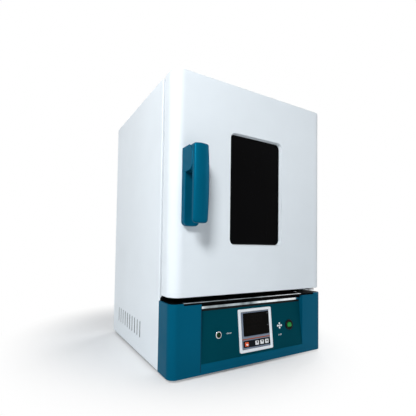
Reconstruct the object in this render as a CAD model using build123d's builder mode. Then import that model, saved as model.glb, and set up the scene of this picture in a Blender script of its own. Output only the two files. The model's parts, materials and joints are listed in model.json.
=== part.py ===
from build123d import *
from math import cos, radians, sin, tan
import os

# Benchtop drying oven: a box with a heated chamber above a control console.
# Millimetres, +Z up, the front faces -Y. The origin is on the table under the middle of
# the bounding box.

# ---------------------------------------------------------------- driving dimensions
foot_height = 7.0
width = 430.0
shell_height = 604.0
shell_depth = 326.0
sheet = 1.5

door_bottom = 153.0            # heights of the door and console are above the shell's edge
door_height = 450.0
door_thickness = 41.5
door_gap = 12.0
door_corner_radius = 24.0
fold_radius = 2.0

window_width = 151.0
window_height = 242.0
window_x = -2.5
window_center = 378.0
window_radius = 13.0
reveal_depth = 9.0
reveal_inset = 1.5

console_height = 141.3
fascia_height = 137.5          # top of the console front between its two corner rims
console_radius = 16.0
console_wall = 3.0
rim_start = 186.0              # the corner rims begin at this distance from the middle
recess_half_width = 145.0
recess_bottom = 19.0
panel_top = 132.0
panel_tilt = 5.75
panel_sheet = 2.0
panel_setback = 0.5

chamber_width = 310.0
chamber_height = 340.0
chamber_depth = 240.0
chamber_bottom = 205.0
liner = 1.2
insulation = 36.0
floor_height = 153.0           # plate between the chamber and the electronics
shelf_levels = (93.0, 208.0)
shelf_rod = 4.0

hinge_x = 200.0
hinge_setback = 33.0           # pin axis in front of the shell's front edge
pin_radius = 4.0
running_fit = 0.05
part_gap = 0.3

handle_left = -195.0
handle_width = 33.0
handle_bottom = 292.0
handle_top = 444.0
handle_base_depth = 12.5
handle_block_depth = 38.5
handle_block_bottom = 395.0
handle_reach = 52.0            # front of the grip in front of the door
grip_bottom = 296.0
grip_top = 443.0
pivot_height = 425.0
pivot_reach = 18.0
nose_radius = 20.5
parting = 1.5
grip_swing_radius = nose_radius + parting

louvre_count = 10
louvre_pitch = 18.7
louvre_width = 4.0
louvre_bottom = 36.5
louvre_height = 39.5
louvre_first = 106.0

fan_radius = 60.0
fan_height = 375.0
vent_x, vent_depth = 0.0, 150.0
vent_radius = 14.0
sector_inner, sector_outer = 6.0, 12.0
sector_angle, sector_web = 85.0, 95.0

# ---------------------------------------------------------------- derived places
half = width / 2
base = foot_height
top = base + shell_height
inlet_proud = 2.5
front = (door_gap + door_thickness + handle_reach - shell_depth - inlet_proud) / 2
rear = front + shell_depth
door_back = front - door_gap
door_front = door_back - door_thickness
door_low = base + door_bottom
door_top = door_low + door_height
console_front = door_front
window_z = base + window_center
mouth_low = base + chamber_bottom
mouth_top = mouth_low + chamber_height
mouth_half = chamber_width / 2
mouth_z = (mouth_low + mouth_top) / 2
liner_front = front + 2 * sheet
liner_back = liner_front + chamber_depth
jacket_back = liner_back + insulation
floor_z = base + floor_height
hinge_y = front - hinge_setback
fan_z = base + fan_height
baffle_y = front + 200.0
vent_y = front + vent_depth


def block(x0, x1, y0, y1, z0, z1, mode=Mode.ADD):
    """A box between two corners, in the part being built."""
    with Locations(((x0 + x1) / 2, (y0 + y1) / 2, (z0 + z1) / 2)):
        Box(x1 - x0, y1 - y0, z1 - z0, mode=mode)


def rod_y(x, z, y0, y1, radius, mode=Mode.ADD):
    """A round bar or hole along Y."""
    with Locations(Location((x, (y0 + y1) / 2, z), (90, 0, 0))):
        Cylinder(radius, y1 - y0, mode=mode)


def rod_x(y, z, x0, x1, radius, mode=Mode.ADD):
    """A round bar or hole along X."""
    with Locations(Location(((x0 + x1) / 2, y, z), (0, 90, 0))):
        Cylinder(radius, x1 - x0, mode=mode)


def rod_z(x, y, z0, z1, radius, mode=Mode.ADD):
    """A round bar or hole along Z."""
    with Locations((x, y, (z0 + z1) / 2)):
        Cylinder(radius, z1 - z0, mode=mode)


def outlet_sectors(height, depth):
    """Cut the two air openings of the vent upwards from a height."""
    with BuildSketch(Plane.XY.offset(height)) as sectors:
        for turn in (0, sector_angle + sector_web):
            with BuildLine():
                outer = CenterArc((vent_x, vent_y), sector_outer, turn, sector_angle)
                inner = CenterArc((vent_x, vent_y), sector_inner, turn, sector_angle)
                Line(inner @ 0, outer @ 0)
                Line(inner @ 1, outer @ 1)
            make_face()
    extrude(sectors.sketch, amount=depth, mode=Mode.SUBTRACT)


def save(piece, name):
    """Label one sub-part and write its STEP file."""
    piece.part.label = name
    export_step(piece.part, f"parts/{name}.step")


os.makedirs("parts", exist_ok=True)

# ---------------------------------------------------------------- cabinet sheet metal
front_flange = 20.0
rear_flange = 16.0
top_flange = 16.0
louvre_mid = front + louvre_first + louvre_pitch * (louvre_count - 1) / 2
louvre_z = base + louvre_bottom + louvre_height / 2

with BuildPart() as outer_shell:
    block(-half, half, front, rear, base, top)
    shell_folds = outer_shell.edges().filter_by(Axis.Y).group_by(Axis.Z)[-1]
    fillet(shell_folds, fold_radius)
    fillet(outer_shell.faces().sort_by(Axis.Y)[0].edges().sort_by(Axis.Z)[1:], fold_radius)
    block(-half + sheet, half - sheet, front + sheet, rear + 1, base - 1, top - sheet,
          mode=Mode.SUBTRACT)
    block(-half + front_flange, half - front_flange, front - 1, front + sheet + 1,
          base - 1, top - top_flange, mode=Mode.SUBTRACT)
    for edge in (-1, 1):
        fold = edge * (half - sheet)
        block(min(fold, fold - edge * rear_flange), max(fold, fold - edge * rear_flange),
              rear - 2 * sheet, rear - sheet, base, top - sheet)
    with BuildSketch(Plane.YZ) as louvre_slots:
        with Locations((louvre_mid, louvre_z)):
            with GridLocations(louvre_pitch, 1, louvre_count, 1):
                SlotOverall(louvre_height, louvre_width, rotation=90)
    extrude(amount=half + 1, both=True, mode=Mode.SUBTRACT)
    rod_z(vent_x, front + vent_depth, top - 3, top + 1, vent_radius + 2, mode=Mode.SUBTRACT)
save(outer_shell, "outer_shell")

base_margin = 4.0
with BuildPart() as base_plate:
    block(-half + base_margin, half - base_margin, console_front + base_margin, rear - sheet,
          base - sheet, base)
    fillet(base_plate.edges().filter_by(Axis.Z).group_by(Axis.Y)[0], console_radius - base_margin)
    for edge in (-1, 1):
        edge_x = edge * (half - sheet)
        block(min(edge_x, edge_x - edge * sheet), max(edge_x, edge_x - edge * sheet),
              front + 2 * sheet, rear - 2 * sheet, base, base + 12)
        block(min(edge_x, edge_x - edge * base_margin), max(edge_x, edge_x - edge * base_margin),
              front, rear - sheet, base - sheet, base)
    with BuildSketch(Plane.XY.offset(base - sheet - 1)) as floor_slots:
        with Locations((0, (front + rear) / 2)):
            with GridLocations(22, 60, 9, 2):
                SlotOverall(40, 5, rotation=90)
    extrude(amount=4, mode=Mode.SUBTRACT)
save(base_plate, "base_plate")

inlet_x, inlet_z = -150.0, base + 60.0
inlet_width, inlet_height = 28.0, 20.4
screw_radius = 2.0
screw_places = [(x, base + z) for x in (-207.0, 207.0) for z in (24.0, 300.0, 580.0)]
with BuildPart() as rear_panel:
    block(-half + sheet, half - sheet, rear - sheet, rear, base, top - sheet)
    with BuildSketch(Plane.XZ.offset(-rear - 1)) as rear_slots:
        with Locations((0, fan_z)):
            with GridLocations(12, 60, 13, 2):
                SlotOverall(46, 5, rotation=90)
        with Locations((60, base + 70)):
            with GridLocations(12, 1, 11, 1):
                SlotOverall(40, 5, rotation=90)
        with Locations((inlet_x, inlet_z)):
            Rectangle(inlet_width, inlet_height)
        with Locations(*screw_places):
            Circle(screw_radius)
    extrude(amount=sheet + 2, mode=Mode.SUBTRACT)
save(rear_panel, "rear_panel")

frame_radius = 6.0
with BuildPart() as front_frame:
    block(-half + sheet, half - sheet, front + sheet, liner_front, base + console_height + 2,
          top - sheet)
    block(-mouth_half, mouth_half, front, liner_front + 1, mouth_low, mouth_top,
          mode=Mode.SUBTRACT)
    fillet(front_frame.edges().filter_by(Axis.Y).filter_by_position(Axis.X, -mouth_half - 1,
           mouth_half + 1), frame_radius)
save(front_frame, "front_frame")

cable_left, cable_right, cable_reach = 30.0, 60.0, 30.0    # the opening the wiring rises through
with BuildPart() as compartment_floor:
    block(-half + sheet, half - sheet, liner_front, rear - 2 * sheet, floor_z, floor_z + sheet)
    block(cable_left, cable_right, rear - cable_reach, rear - cable_reach + 18, floor_z - 1,
          floor_z + 3, mode=Mode.SUBTRACT)
save(compartment_floor, "compartment_floor")

# ---------------------------------------------------------------- heated chamber
flange = 12.0
shaft_radius = 3.0
shaft_hole = 5.0
probe_x, probe_z = 105.0, mouth_top - 45.0
heater_leg = 30.0
heater_tube = 3.25
heater_ring = 86.0
heater_leg_z = fan_z - heater_ring
pipe_wall = 2.0

with BuildPart() as chamber_liner:
    block(-mouth_half - liner, mouth_half + liner, liner_front, liner_back + liner,
          mouth_low - liner, mouth_top + liner)
    block(-mouth_half - flange, mouth_half + flange, liner_front, liner_front + liner,
          mouth_low - flange, mouth_top + flange)
    block(-mouth_half, mouth_half, liner_front - 1, liner_back, mouth_low, mouth_top,
          mode=Mode.SUBTRACT)
    rod_y(0, fan_z, liner_back - 1, liner_back + 3, shaft_hole, mode=Mode.SUBTRACT)
    rod_y(probe_x, probe_z, liner_back - 1, liner_back + 3, 2.0, mode=Mode.SUBTRACT)
    for leg in (-heater_leg, heater_leg):
        rod_y(leg, heater_leg_z, liner_back - 1, liner_back + 3, heater_tube, mode=Mode.SUBTRACT)
    rod_z(vent_x, vent_y, mouth_top - 1, mouth_top + 3, vent_radius + pipe_wall,
          mode=Mode.SUBTRACT)
save(chamber_liner, "chamber_liner")

jacket_half = mouth_half + liner + insulation
jacket_top = mouth_top + liner + insulation
with BuildPart() as chamber_insulation:
    block(-jacket_half, jacket_half, liner_front + liner, jacket_back, floor_z + sheet, jacket_top)
    block(-mouth_half - liner, mouth_half + liner, front, liner_back + liner,
          mouth_low - liner, mouth_top + liner, mode=Mode.SUBTRACT)
    rod_y(0, fan_z, liner_back, jacket_back + 1, shaft_hole, mode=Mode.SUBTRACT)
    rod_y(probe_x, probe_z, liner_back, jacket_back + 1, 2.0, mode=Mode.SUBTRACT)
    for leg in (-heater_leg, heater_leg):
        rod_y(leg, heater_leg_z, liner_back, jacket_back + 1, heater_tube, mode=Mode.SUBTRACT)
    rod_z(vent_x, vent_y, mouth_top, jacket_top + 1, vent_radius + pipe_wall, mode=Mode.SUBTRACT)
save(chamber_insulation, "chamber_insulation")

gasket_inner, gasket_width = 4.0, 14.0
with BuildPart() as door_gasket:
    gasket_plane = Plane.XZ.offset(-front - sheet)
    with BuildSketch(gasket_plane) as gasket_ring:
        with Locations((0, mouth_z)):
            RectangleRounded(chamber_width + 2 * (gasket_inner + gasket_width),
                             chamber_height + 2 * (gasket_inner + gasket_width), 22)
            RectangleRounded(chamber_width + 2 * gasket_inner, chamber_height + 2 * gasket_inner,
                             10, mode=Mode.SUBTRACT)
    extrude(amount=door_gap + sheet - part_gap)
    fillet(door_gasket.faces().sort_by(Axis.Y)[0].edges(), 4)
save(door_gasket, "door_gasket")

rail_depth = 12.0
rail_heights = (shelf_levels[0], shelf_levels[1], 290.0)
for side, name in ((-1, "shelf_rack_left"), (1, "shelf_rack_right")):
    with BuildPart() as shelf_rack:
        wall = side * mouth_half
        strip = wall - side * 2.0
        ledge = strip - side * rail_depth
        for y in (front + 34, front + 166):
            block(min(wall, strip), max(wall, strip), y, y + 16, mouth_low + 20, mouth_top - 30)
        for level in rail_heights:
            rail_z = mouth_low + level - shelf_rod / 2 - part_gap
            block(min(strip, ledge), max(strip, ledge), front + 12, front + 192,
                  rail_z - sheet, rail_z)
            block(min(strip, strip - side * sheet), max(strip, strip - side * sheet),
                  front + 12, front + 192, rail_z - 14, rail_z)
    save(shelf_rack, name)

with BuildPart() as rear_baffle:
    block(-mouth_half + 4, mouth_half - 4, baffle_y, baffle_y + liner, mouth_low + 6,
          mouth_top - 6)
    for edge in (-1, 1):
        inner = edge * (mouth_half - 4)
        block(min(inner, inner - edge * liner), max(inner, inner - edge * liner),
              baffle_y, liner_back, mouth_low + 6, mouth_top - 6)
    with BuildSketch(Plane.XZ.offset(-baffle_y - liner - 1)) as air_holes:
        with Locations((0, fan_z)):
            Circle(3)
            for ring, count in ((12, 8), (24, 14), (36, 20), (48, 26)):
                with PolarLocations(ring, count):
                    Circle(3)
        for column in (-118, 118):
            with Locations((column, mouth_z)):
                with GridLocations(14, 18, 3, 15):
                    Circle(3.5)
        with Locations((probe_x - 15, probe_z)):
            Circle(3)
    extrude(amount=liner + 2, mode=Mode.SUBTRACT)
save(rear_baffle, "rear_baffle")

heater_y = front + 218.0
with BuildPart() as heater_elements:
    with BuildSketch(Plane.XZ.offset(-heater_y)) as ring_centres:
        with Locations((0, fan_z)):
            Circle(heater_ring + heater_tube)
            Circle(heater_ring - heater_tube, mode=Mode.SUBTRACT)
            Rectangle(2 * heater_leg, 200, align=(Align.CENTER, Align.MAX), mode=Mode.SUBTRACT)
    extrude(amount=heater_tube, both=True)
    fillet(heater_elements.edges().filter_by(GeomType.CIRCLE), 2.2)
    for leg in (-heater_leg, heater_leg):
        block(min(leg, leg * 1.2), max(leg, leg * 1.2), heater_y - 2, heater_y + 2,
              heater_leg_z - 2, heater_leg_z + 6)
        rod_y(leg, heater_leg_z, heater_y - 3, jacket_back + 12, heater_tube)
save(heater_elements, "heater_elements")

with BuildPart() as temperature_probe:
    rod_y(probe_x, probe_z, baffle_y + 14, jacket_back + 8, 2.0)
    rod_x(baffle_y + 16, probe_z, probe_x - 15, probe_x, 2.0)
    rod_y(probe_x - 15, probe_z, baffle_y - 30, baffle_y + 18, 2.0)
    rod_y(probe_x, probe_z, jacket_back, jacket_back + 10, 6.0)
save(temperature_probe, "temperature_probe")

# ---------------------------------------------------------------- circulation fan
motor_front = jacket_back + sheet
motor_length, motor_radius = 34.0, 34.0
bracket_half = 50.0
with BuildPart() as motor_bracket:
    block(-bracket_half, bracket_half, jacket_back, motor_front, fan_z - bracket_half,
          fan_z + bracket_half)
    rod_y(0, fan_z, jacket_back - 1, motor_front + 1, 9, mode=Mode.SUBTRACT)
save(motor_bracket, "motor_bracket")

with BuildPart() as fan_motor:
    rod_y(0, fan_z, motor_front, motor_front + motor_length, motor_radius)
    fillet(fan_motor.edges().filter_by(GeomType.CIRCLE).sort_by(Axis.Y)[-1], 4)
    block(-22, 22, motor_front, motor_front + 20, fan_z - 42, fan_z - 30)
    rod_y(0, fan_z, motor_front - 1, motor_front + 20, shaft_radius + running_fit,
          mode=Mode.SUBTRACT)
save(fan_motor, "fan_motor")

impeller_y = front + 211.0
impeller_depth = 22.0
blade_count, blade_length, blade_ring = 8, 50.0, 34.0
with BuildPart() as fan_impeller:
    rod_y(0, fan_z, impeller_y + impeller_depth - 2, impeller_y + impeller_depth, fan_radius)
    rod_y(0, fan_z, impeller_y + 2, impeller_y + impeller_depth, 10)
    with BuildSketch(Plane.XZ.offset(-impeller_y)) as blades:
        with Locations((0, fan_z)):
            with PolarLocations(blade_ring, blade_count):
                Rectangle(blade_length, 1.6)
    extrude(amount=-impeller_depth)
    rod_y(0, fan_z, impeller_y + 2, motor_front + 18, shaft_radius)
save(fan_impeller, "fan_impeller")

# ---------------------------------------------------------------- exhaust vent on top
pipe_top = top + 14.0
pipe_lid = 3.0
cap_radius, cap_thickness, cap_skirt = 23.0, 5.0, 10.0
collar_radius, collar_height = 30.0, 2.0
with BuildPart() as vent_pipe:
    rod_z(vent_x, vent_y, mouth_top, pipe_top, vent_radius + pipe_wall)
    rod_z(vent_x, vent_y, top, top + collar_height, collar_radius)
    rod_z(vent_x, vent_y, mouth_top - 1, pipe_top - pipe_lid, vent_radius, mode=Mode.SUBTRACT)
    outlet_sectors(pipe_top - pipe_lid - 1, pipe_lid + 2)
    rod_z(vent_x, vent_y, pipe_top - 5, pipe_top + 1, shaft_radius + running_fit,
          mode=Mode.SUBTRACT)
save(vent_pipe, "vent_pipe")

with BuildPart() as vent_cap:
    rod_z(vent_x, vent_y, pipe_top - cap_skirt, pipe_top + cap_thickness, cap_radius)
    fillet(vent_cap.edges().group_by(Axis.Z)[-1], 2)
    rod_z(vent_x, vent_y, pipe_top - cap_skirt - 1, pipe_top + part_gap,
          vent_radius + pipe_wall + 2 * part_gap, mode=Mode.SUBTRACT)
    outlet_sectors(pipe_top, cap_thickness + 1)
    rod_z(vent_x, vent_y, pipe_top - pipe_lid, pipe_top + pipe_lid, shaft_radius)
save(vent_cap, "vent_cap")

# ---------------------------------------------------------------- door
skin = 1.5
glass_thickness = 4.0
outer_glass_y = door_front + reveal_depth
rod_axis_z = base + pivot_height + 11.0
rod_radius = 2.5
handle_x = handle_left + handle_width / 2
notch_x = hinge_x - 20.0
notch_z = door_low + 440.5
notch_y = hinge_y - 12.0
bush_radius = 6.5
bush_length = 16.0

with BuildPart() as door_shell:
    with BuildSketch(Plane.XY.offset(door_low)) as door_plan:
        with Locations((0, (door_front + door_back) / 2)):
            Rectangle(width, door_thickness)
        fillet(door_plan.vertices().group_by(Axis.Y)[0], door_corner_radius)
    extrude(amount=door_height)
    rims = door_shell.faces().sort_by(Axis.Z)
    fillet(rims[0].edges().sort_by(Axis.Y)[:-1] + rims[-1].edges().sort_by(Axis.Y)[:-1],
           fold_radius)
    with BuildSketch(Plane.XY.offset(door_low + skin)) as door_cavity:
        with Locations((0, (door_front + skin + door_back + 1) / 2)):
            Rectangle(width - 2 * skin, door_back + 1 - door_front - skin)
        fillet(door_cavity.vertices().group_by(Axis.Y)[0], door_corner_radius - skin)
    extrude(amount=door_height - 2 * skin, mode=Mode.SUBTRACT)
    # the window's edge is pressed inwards all round, as a sloping reveal
    with BuildSketch(Plane.XZ.offset(-door_front)) as reveal_outline:
        with Locations((window_x, window_z)):
            RectangleRounded(window_width + 2 * skin, window_height + 2 * skin,
                             window_radius + skin)
    extrude(amount=-reveal_depth)
    with BuildSketch(Plane.XZ.offset(-door_front)) as reveal_mouth:
        with Locations((window_x, window_z)):
            RectangleRounded(window_width, window_height, window_radius)
    with BuildSketch(Plane.XZ.offset(-outer_glass_y)) as reveal_throat:
        with Locations((window_x, window_z)):
            RectangleRounded(window_width - 2 * reveal_inset, window_height - 2 * reveal_inset,
                             window_radius - reveal_inset + 1)
    loft(mode=Mode.SUBTRACT)
    # a pocket at the top for the upper hinge arm
    with BuildSketch(Plane.XY.offset(notch_z - skin)) as pocket_plan:
        with Locations((0, (door_front + skin + door_back) / 2)):
            Rectangle(width - 2 * skin, door_back - door_front - skin)
        fillet(pocket_plan.vertices().group_by(Axis.Y)[0], door_corner_radius - skin)
        with Locations((notch_x - skin, notch_y - skin)):
            Rectangle(half, door_thickness, align=(Align.MIN, Align.MIN), mode=Mode.INTERSECT)
    extrude(amount=door_top - notch_z)
    block(notch_x, half + 1, notch_y, door_back + 1, notch_z, door_top + 1, mode=Mode.SUBTRACT)
    rod_z(hinge_x, hinge_y, door_low - 1, door_low + skin + 1, bush_radius, mode=Mode.SUBTRACT)
    rod_z(hinge_x, hinge_y, notch_z - skin - 1, notch_z + 1, bush_radius, mode=Mode.SUBTRACT)
    rod_y(handle_x, rod_axis_z, door_front - 1, door_front + skin + 1, rod_radius + part_gap,
          mode=Mode.SUBTRACT)
save(door_shell, "door_shell")

pan_y = door_back - liner
stack_half_width = window_width / 2 + 6
stack_half_height = window_height / 2 + 6
magnet_x = -half + 22.0
magnet_heights = (base + 220.0, base + 560.0)
magnet_proud = 7.5

with BuildPart() as door_inner_pan:
    block(-half + skin, half - skin, pan_y, door_back, door_low + skin, door_top - skin)
    block(notch_x - skin, half, pan_y - 1, door_back + 1, notch_z - skin, door_top,
          mode=Mode.SUBTRACT)
    with BuildSketch(Plane.XZ.offset(-door_back - 1)) as pan_window:
        with Locations((window_x, window_z)):
            RectangleRounded(window_width, window_height, window_radius)
    extrude(amount=3, mode=Mode.SUBTRACT)
    rod_y(handle_x, rod_axis_z, pan_y - 1, door_back + 1, rod_radius + part_gap,
          mode=Mode.SUBTRACT)
save(door_inner_pan, "door_inner_pan")

with BuildPart() as door_insulation:
    with BuildSketch(Plane.XY.offset(door_low + skin)) as filling_plan:
        with Locations((0, (door_front + skin + pan_y) / 2)):
            Rectangle(width - 2 * skin, pan_y - door_front - skin)
        fillet(filling_plan.vertices().group_by(Axis.Y)[0], door_corner_radius - skin)
    extrude(amount=door_height - 2 * skin)
    block(window_x - stack_half_width, window_x + stack_half_width, door_front, door_back,
          window_z - stack_half_height, window_z + stack_half_height, mode=Mode.SUBTRACT)
    block(notch_x - skin, half, notch_y - skin, door_back, notch_z - skin, door_top,
          mode=Mode.SUBTRACT)
    rod_z(hinge_x, hinge_y, door_low, door_low + bush_length, bush_radius, mode=Mode.SUBTRACT)
    rod_z(hinge_x, hinge_y, notch_z - bush_length, notch_z, bush_radius, mode=Mode.SUBTRACT)
    rod_y(handle_x, rod_axis_z, door_front, door_back, rod_radius + 1, mode=Mode.SUBTRACT)
save(door_insulation, "door_insulation")

for glass_front, name in ((outer_glass_y, "window_outer_glass"),
                          (pan_y - glass_thickness, "window_inner_glass")):
    with BuildPart() as pane:
        with BuildSketch(Plane.XZ.offset(-glass_front)) as pane_outline:
            with Locations((window_x, window_z)):
                RectangleRounded(2 * stack_half_width, 2 * stack_half_height, 4)
        extrude(amount=-glass_thickness)
    save(pane, name)

with BuildPart() as window_frame:
    with BuildSketch(Plane.XZ.offset(-outer_glass_y - glass_thickness)) as frame_ring:
        with Locations((window_x, window_z)):
            RectangleRounded(2 * stack_half_width, 2 * stack_half_height, 4)
            RectangleRounded(window_width - 2 * reveal_inset, window_height - 2 * reveal_inset,
                             window_radius - reveal_inset + 1, mode=Mode.SUBTRACT)
    extrude(amount=-(pan_y - outer_glass_y - 2 * glass_thickness))
save(window_frame, "window_frame")

with BuildPart() as catch_magnets:
    for z in magnet_heights:
        block(magnet_x - 8, magnet_x + 8, door_back, door_back + magnet_proud, z - 20, z + 20)
    fillet(catch_magnets.edges().filter_by(Axis.Z), 1.5)
save(catch_magnets, "catch_magnets")

strike_face = front - 3.5
with BuildPart() as strike_plates:
    for z in magnet_heights:
        block(magnet_x - 9, magnet_x + 9, strike_face, front, z - 22, z + 22)
    block(handle_x - 5, handle_x + 5, front - 0.5, front + sheet, rod_axis_z - 7, rod_axis_z + 7)
    fillet(strike_plates.edges().filter_by(Axis.Y), 1.5)
save(strike_plates, "strike_plates")

# ---------------------------------------------------------------- hinges on the right
arm_half = 8.0
arm_thickness = 3.5
lower_arm_z = base + 145.5
upper_arm_z = notch_z + 3.0
for arm_z, plate_low, plate_high, name in (
        (lower_arm_z, lower_arm_z, lower_arm_z + 45, "hinge_lower_bracket"),
        (upper_arm_z, upper_arm_z - 41.5, upper_arm_z + arm_thickness, "hinge_upper_bracket")):
    with BuildPart() as bracket:
        block(hinge_x - arm_half, hinge_x + arm_half, hinge_y, front, arm_z, arm_z + arm_thickness)
        rod_z(hinge_x, hinge_y, arm_z, arm_z + arm_thickness, arm_half)
        block(hinge_x - 16, hinge_x + arm_half, front - 3, front, plate_low, plate_high)
        rod_z(hinge_x, hinge_y, arm_z - 1, arm_z + arm_thickness + 1, pin_radius,
              mode=Mode.SUBTRACT)
    save(bracket, name)

with BuildPart() as hinge_pins:
    rod_z(hinge_x, hinge_y, lower_arm_z, door_low + bush_length, pin_radius)
    rod_z(hinge_x, hinge_y, notch_z - bush_length, upper_arm_z + arm_thickness, pin_radius)
    chamfer(hinge_pins.edges().filter_by(GeomType.CIRCLE), 0.5)
save(hinge_pins, "hinge_pins")

with BuildPart() as hinge_bushes:
    rod_z(hinge_x, hinge_y, door_low, door_low + bush_length, bush_radius)
    rod_z(hinge_x, hinge_y, door_low - 2.5, door_low, bush_radius + 1)
    rod_z(hinge_x, hinge_y, notch_z - bush_length, notch_z, bush_radius)
    rod_z(hinge_x, hinge_y, notch_z, notch_z + 2, bush_radius + 1)
    rod_z(hinge_x, hinge_y, base, top, pin_radius + running_fit, mode=Mode.SUBTRACT)
save(hinge_bushes, "hinge_bushes")

# ---------------------------------------------------------------- handle
handle_right = handle_left + handle_width
block_front = door_front - handle_block_depth
pivot_y = door_front - pivot_reach
pivot_z = base + pivot_height
handle_mid_z = base + (handle_bottom + handle_top) / 2
lug_half = 4.0
lug_slot_half = 4.5
handle_edge = 1.2

with BuildPart() as handle_base:
    with BuildSketch(Plane.XZ.offset(-door_front)) as base_outline:
        with Locations((handle_x, handle_mid_z)):
            Rectangle(handle_width, handle_top - handle_bottom)
        fillet(base_outline.vertices().group_by(Axis.Y)[0], 9)
    extrude(amount=handle_base_depth)
    with BuildSketch(Plane.YZ.offset(handle_left)) as block_side:
        with Locations((pivot_y, pivot_z)):
            Circle(nose_radius)
            Rectangle(nose_radius, base + handle_top - pivot_z, align=(Align.MAX, Align.MIN),
                      mode=Mode.INTERSECT)
            Rectangle(pivot_reach, base + handle_top - pivot_z, align=(Align.MIN, Align.MIN))
        with Locations((block_front, base + handle_block_bottom)):
            Rectangle(handle_block_depth, pivot_height - handle_block_bottom,
                      align=(Align.MIN, Align.MIN))
        fillet(block_side.vertices().sort_by(Axis.Y)[:2].sort_by(Axis.X)[0], 12)
    extrude(amount=handle_width)
    side_edges = (handle_base.faces().sort_by(Axis.X)[0].edges()
                  + handle_base.faces().sort_by(Axis.X)[-1].edges())
    fillet([edge for edge in side_edges if edge.center().Y < door_front - 0.1], handle_edge)
    block(handle_x - lug_slot_half, handle_x + lug_slot_half, block_front - 1, pivot_y + 11.5,
          pivot_z - 18, pivot_z + 16, mode=Mode.SUBTRACT)
    rod_x(pivot_y, pivot_z, handle_left + 6, handle_right - 6, rod_radius, mode=Mode.SUBTRACT)
    rod_y(handle_x, rod_axis_z, pivot_y, door_front + 1, rod_radius + part_gap,
          mode=Mode.SUBTRACT)
save(handle_base, "handle_base")

with BuildPart() as handle_pivot_pin:
    rod_x(pivot_y, pivot_z, handle_left + 6, handle_right - 6, rod_radius)
save(handle_pivot_pin, "handle_pivot_pin")

grip_front = door_front - handle_reach
grip_back = block_front - parting
crown = 1.6                    # how far the ends of the grip's face fall back
roll = 4.5                     # how far its sides fall back
bow = 2.2
grip_edge = 4.0
grip_low_z = base + grip_bottom
grip_high_z = base + grip_top
grip_mid_z = (grip_low_z + grip_high_z) / 2
tail_height = 14.0
crown_radius = ((grip_high_z - grip_low_z) ** 2 / 4 + crown ** 2) / (2 * crown)
crown_turn = 3.5               # half the arc the face is swept through, in degrees
with BuildPart() as handle_grip:
    sweep_start = Plane(origin=(0, grip_front + crown_radius, grip_mid_z), x_dir=(1, 0, 0),
                        z_dir=(0, sin(radians(crown_turn)), cos(radians(crown_turn))))
    with BuildSketch(sweep_start) as grip_plan:
        with BuildLine():
            face_arc = ThreePointArc((handle_left, roll - crown_radius),
                                     (handle_x, -crown_radius),
                                     (handle_right, roll - crown_radius))
            Polyline(face_arc @ 1, (handle_right, handle_reach - crown_radius),
                     (handle_left, handle_reach - crown_radius), face_arc @ 0)
        make_face()
    revolve(axis=Axis(sweep_start.origin, (1, 0, 0)), revolution_arc=2 * crown_turn)
    with BuildSketch(Plane.YZ.offset(handle_left)) as grip_side:
        with BuildLine():
            rise = grip_high_z - pivot_z
            inset = (grip_swing_radius ** 2 - rise ** 2) ** 0.5
            outside = Line((grip_front - 1, grip_low_z), (grip_front - 1, grip_high_z))
            Line(outside @ 1, (pivot_y - inset, grip_high_z))
            half_rise = rise / 2
            half_inset = (grip_swing_radius ** 2 - half_rise ** 2) ** 0.5
            ThreePointArc((pivot_y - inset, grip_high_z), (pivot_y - half_inset,
                          pivot_z + half_rise), (grip_back, pivot_z))
            Line((grip_back, pivot_z), (grip_back, grip_low_z))
            Line((grip_back, grip_low_z), outside @ 0)
        make_face()
    extrude(amount=handle_width, mode=Mode.INTERSECT)
    with BuildSketch(Plane.XZ.offset(-door_front)) as grip_outline:
        with BuildLine():
            right_edge = ThreePointArc((handle_right - bow, grip_low_z),
                                       (handle_right, grip_mid_z),
                                       (handle_right - bow, grip_high_z))
            Line(right_edge @ 1, (handle_left, grip_high_z))
            Line((handle_left, grip_high_z), (handle_left, grip_low_z))
            Line((handle_left, grip_low_z), right_edge @ 0)
        make_face()
        fillet(grip_outline.vertices().group_by(Axis.Y)[0], 7.5)
        fillet(grip_outline.vertices().group_by(Axis.Y)[-1], grip_edge + 0.6)
    extrude(amount=handle_reach + 1, mode=Mode.INTERSECT)
    fillet(handle_grip.faces().sort_by(Axis.Y)[0].edges(), grip_edge)
    block(handle_x - lug_half, handle_x + lug_half, grip_back - 1, pivot_y, pivot_z - 8,
          pivot_z + 8)
    rod_x(pivot_y, pivot_z, handle_x - lug_half, handle_x + lug_half, 9)
    block(handle_x - lug_half, handle_x + lug_half, pivot_y - 1, pivot_y + 6, pivot_z,
          pivot_z + tail_height)
    rod_x(pivot_y, pivot_z, handle_left, handle_right, rod_radius + running_fit,
          mode=Mode.SUBTRACT)
save(handle_grip, "handle_grip")

with BuildPart() as push_rod:
    rod_y(handle_x, rod_axis_z, pivot_y + 6.5, front - 4.5, rod_radius)
    chamfer(push_rod.edges().filter_by(GeomType.CIRCLE), 0.6)
save(push_rod, "push_rod")

# ---------------------------------------------------------------- console
rim_top = base + console_height
fascia_top = base + fascia_height
slope = radians(panel_tilt)
panel_low_z = base + recess_bottom
panel_low_y = console_front + panel_setback
panel_high_z = base + panel_top
deck_z = base + fascia_height
deck_thickness = rim_top - fascia_top
screen_normal = (0, -cos(slope), sin(slope))
face_z = base + 70.5
face_y = panel_low_y + (face_z - panel_low_z) * tan(slope)
face = Plane(origin=(0, face_y, face_z), x_dir=(1, 0, 0), z_dir=screen_normal)
panel_low_v = (panel_low_z - face_z) / cos(slope)
panel_high_v = (panel_high_z - face_z) / cos(slope)

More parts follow.
